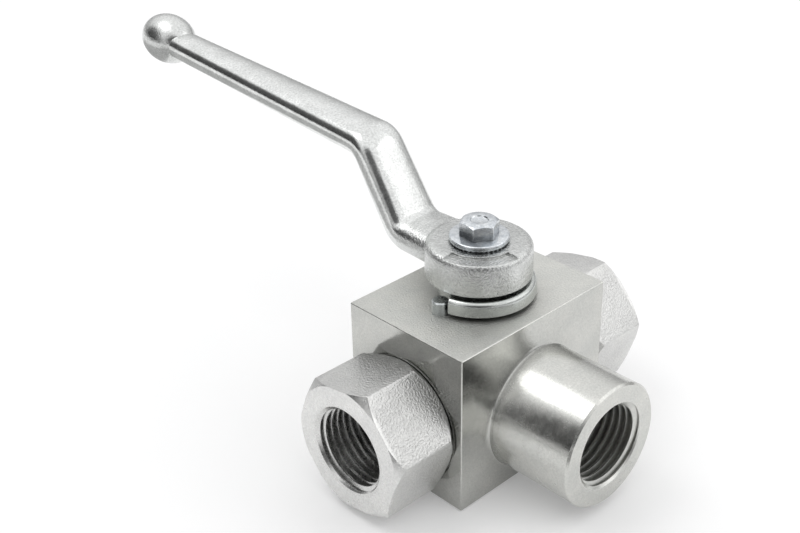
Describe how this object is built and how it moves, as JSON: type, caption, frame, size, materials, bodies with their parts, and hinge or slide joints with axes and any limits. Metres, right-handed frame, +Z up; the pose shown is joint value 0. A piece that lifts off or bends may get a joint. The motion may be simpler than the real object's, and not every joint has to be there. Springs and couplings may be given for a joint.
{
  "type": "ball valve",
  "caption": "Block ball valve with two in-line hexagon ports, a round side port and a cranked lever with a ball end on top.",
  "frame": {"origin": "on the stem axis, in the plane of the block's bottom face", "axes": "+X along the in-line ports towards the right adapter, -Y out of the round side port, +Z up the stem; the lever points along +Y at rest"},
  "size_m": [0.0832, 0.1649, 0.0796],
  "materials": {
    "block_steel": "machined steel, zinc plated, satin",
    "adapter_steel": "drawn hexagon steel, turned and threaded, zinc plated, satin",
    "lever_zinc": "smooth cast skin, bright zinc plated",
    "disc_steel": "pressed steel, zinc plated, satin",
    "fastener_zinc": "bright blue-white zinc plated steel",
    "pin_steel": "ground steel pin, bright",
    "stem_steel": "turned and ground steel",
    "ball_chrome": "hard chrome plated steel, polished",
    "seat_plastic": "off-white acetal",
    "seal_rubber": "black nitrile rubber"
  },
  "bodies": {
    "valve_body": {"body": "block_steel", "left_adapter": "adapter_steel", "right_adapter": "adapter_steel", "left_adapter_o_ring": "seal_rubber", "right_adapter_o_ring": "seal_rubber", "left_seat": "seat_plastic", "right_seat": "seat_plastic", "left_seat_o_ring": "seal_rubber", "right_seat_o_ring": "seal_rubber", "stop_pin": "pin_steel", "stem_thrust_washer": "seat_plastic"},
    "lever": {"stem": "stem_steel", "stem_o_ring_lower": "seal_rubber", "stem_o_ring_upper": "seal_rubber", "stop_disc": "disc_steel", "handle": "lever_zinc", "handle_lock_washer": "fastener_zinc", "handle_washer": "fastener_zinc", "handle_screw": "fastener_zinc"},
    "ball": {"ball": "ball_chrome"}
  },
  "joints": [
    {"name": "lever_turn", "type": "hinge", "parent": "valve_body", "child": "lever", "pos_m": [0, 0, 0.04], "axis": [0, 0, 1], "range_deg": [0, 90]},
    {"name": "ball_turn", "type": "hinge", "parent": "valve_body", "child": "ball", "pos_m": [0, 0, 0.0173], "axis": [0, 0, 1], "range_deg": [0, 90]}
  ],
  "couplings": [
    {"joint": "ball_turn", "follows": "lever_turn", "ratio": 1}
  ]
}
